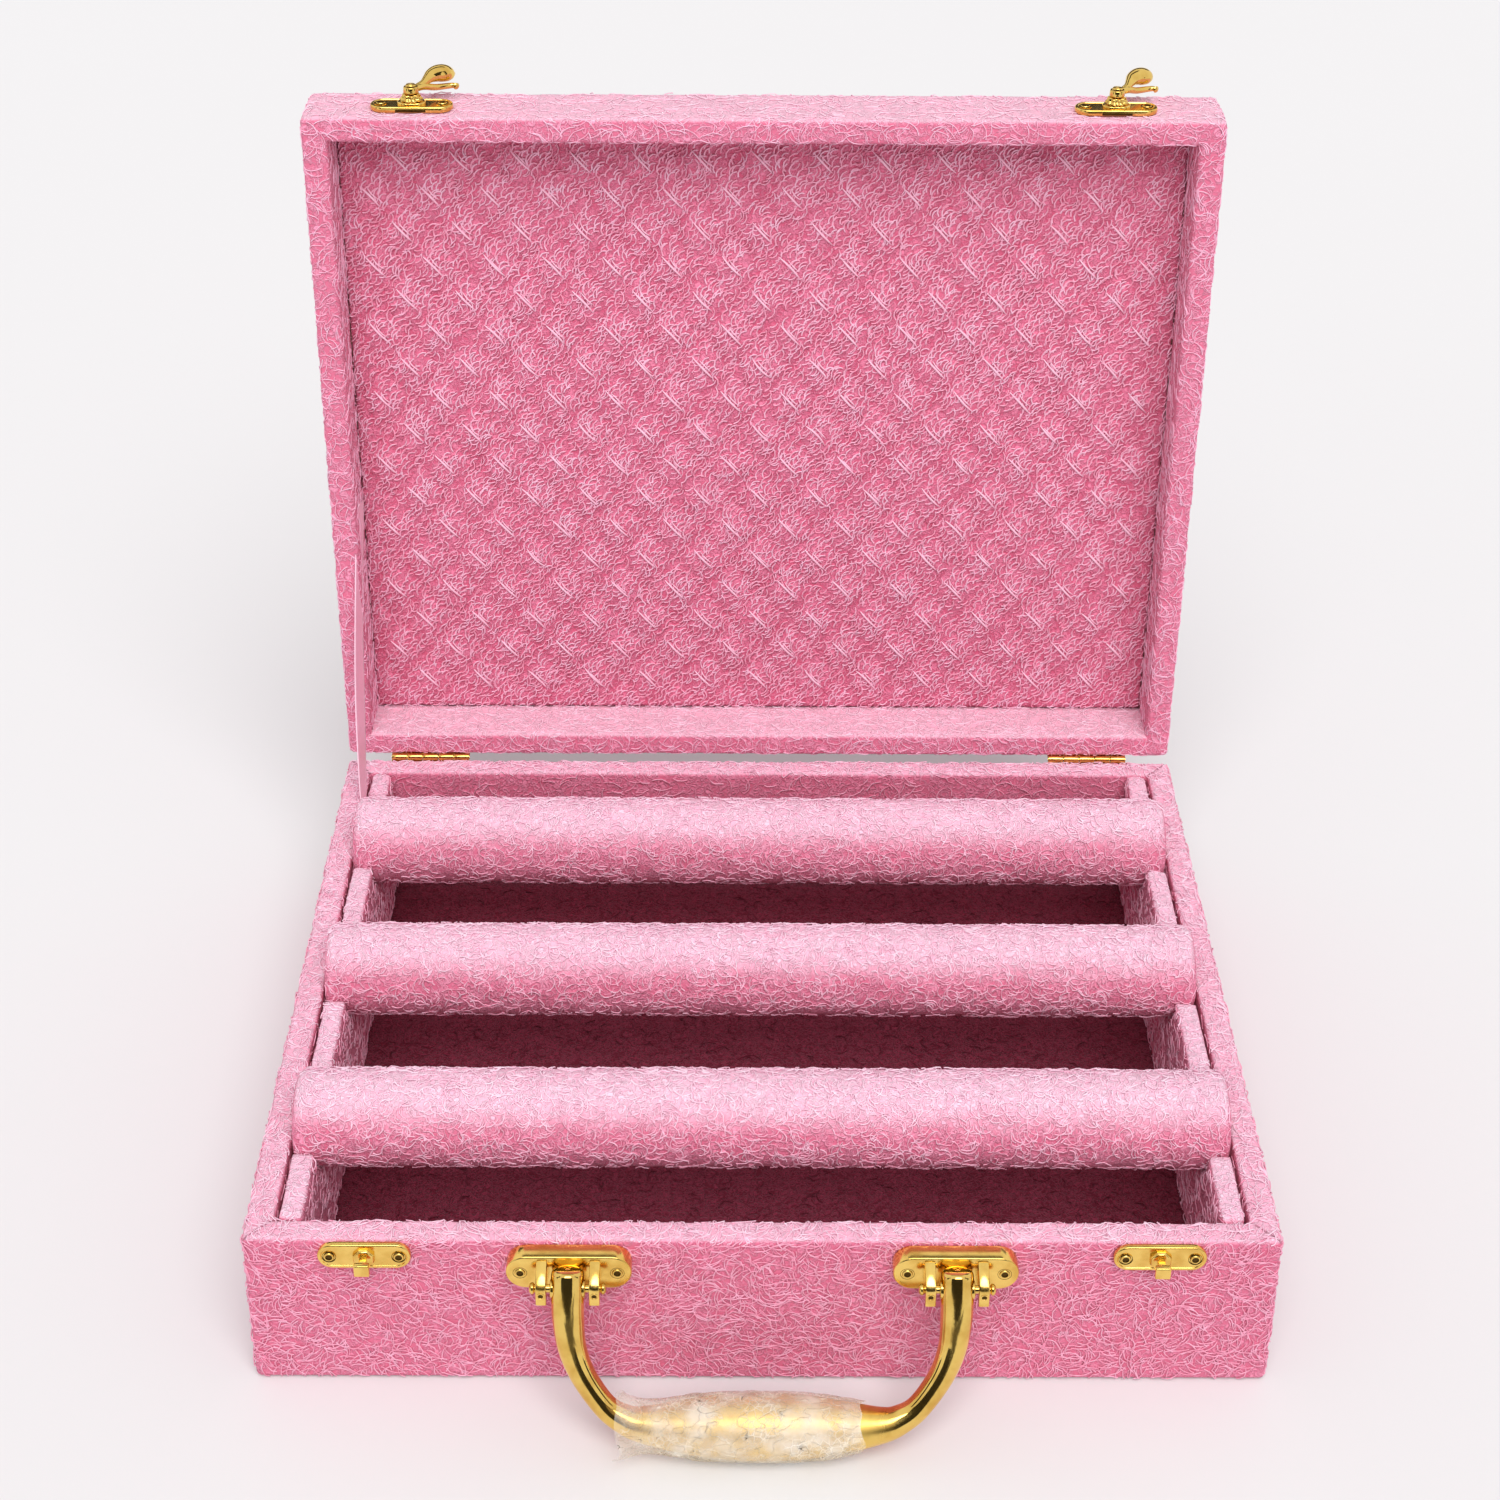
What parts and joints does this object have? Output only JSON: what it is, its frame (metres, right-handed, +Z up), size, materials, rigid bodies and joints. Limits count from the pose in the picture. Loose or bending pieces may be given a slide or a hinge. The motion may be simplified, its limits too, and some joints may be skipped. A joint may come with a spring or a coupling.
{
  "type": "bangle box",
  "caption": "Plush-covered bangle case with a hinged lid held by a ribbon stay, lift-out padded rolls, gilt swing-hook latches and a carrying handle.",
  "frame": {"origin": "centre of the underside, on the surface the case stands on", "axes": "+Z up, -Y towards the front face with the handle, +X to the right of a person facing the front"},
  "size_m": [0.305, 0.3155, 0.3188],
  "materials": {
    "plush": "deep pink plush with thin curly strands",
    "pale_plush": "light pink plush with thin curly strands",
    "cover_cloth": "flat pink cloth",
    "satin": "pink satin ribbon with a pale selvedge",
    "card": "bare fibreboard",
    "foam": "soft foam",
    "gilt": "polished gold-coloured plating",
    "film": "thin frosted film"
  },
  "bodies": {
    "base": {"base_board_front": "card", "base_board_back": "card", "base_board_left": "card", "base_board_right": "card", "base_board_bottom": "card", "base_wrap": "plush", "base_underside_cover": "cover_cloth", "base_floor_lining": "pale_plush", "roll_rest_left": "pale_plush", "roll_rest_right": "pale_plush", "keeper_left": "gilt", "keeper_left_screw_1": "gilt", "keeper_left_screw_2": "gilt", "keeper_right": "gilt", "keeper_right_screw_1": "gilt", "keeper_right_screw_2": "gilt", "handle_mount_left": "gilt", "handle_mount_left_screw_1": "gilt", "handle_mount_left_screw_2": "gilt", "handle_mount_right": "gilt", "handle_mount_right_screw_1": "gilt", "handle_mount_right_screw_2": "gilt", "handle_pin_left": "gilt", "handle_pin_right": "gilt", "hinge_base_leaf_left": "gilt", "hinge_base_leaf_right": "gilt", "hinge_pin_left": "gilt", "hinge_pin_right": "gilt"},
    "lid": {"lid_board_front": "card", "lid_board_back": "card", "lid_board_left": "card", "lid_board_right": "card", "lid_board_panel": "card", "lid_wrap": "plush", "lid_lining_panel": "plush", "latch_plate_left": "gilt", "latch_plate_left_screw_1": "gilt", "latch_plate_left_screw_2": "gilt", "latch_post_left": "gilt", "latch_plate_right": "gilt", "latch_plate_right_screw_1": "gilt", "latch_plate_right_screw_2": "gilt", "latch_post_right": "gilt", "hinge_lid_leaf_left": "gilt", "hinge_lid_leaf_right": "gilt", "stay_ribbon": "satin"},
    "hook_left": {"latch_hook_left": "gilt"},
    "hook_right": {"latch_hook_right": "gilt"},
    "roll_back": {"roll_back_core": "foam", "roll_back_cover": "pale_plush"},
    "roll_middle": {"roll_middle_core": "foam", "roll_middle_cover": "pale_plush"},
    "roll_front": {"roll_front_core": "foam", "roll_front_cover": "pale_plush"},
    "handle": {"handle_bow": "gilt", "grip_film": "film"}
  },
  "joints": [
    {"name": "lid_hinge", "type": "hinge", "parent": "base", "child": "lid", "pos_m": [0, 0.1261, 0.0565], "axis": [-1, 0, 0], "range_deg": [-90, 0], "deforming": ["stay_ribbon"]},
    {"name": "handle_hinge", "type": "hinge", "parent": "base", "child": "handle", "pos_m": [0, -0.1363, 0.0482], "axis": [-1, 0, 0], "range_deg": [0, 140]},
    {"name": "latch_left", "type": "hinge", "parent": "lid", "child": "hook_left", "pos_m": [-0.1165, 0.1354, 0.3095], "axis": [0, 0, 1], "range_deg": [-120, 90]},
    {"name": "latch_right", "type": "hinge", "parent": "lid", "child": "hook_right", "pos_m": [0.1165, 0.1354, 0.3095], "axis": [0, 0, 1], "range_deg": [-120, 90]},
    {"name": "roll_back_lift", "type": "slide", "parent": "base", "child": "roll_back", "axis": [0, 0, 1], "range_m": [0, 0.06]},
    {"name": "roll_middle_lift", "type": "slide", "parent": "base", "child": "roll_middle", "axis": [0, 0, 1], "range_m": [0, 0.06]},
    {"name": "roll_front_lift", "type": "slide", "parent": "base", "child": "roll_front", "axis": [0, 0, 1], "range_m": [0, 0.06]}
  ]
}
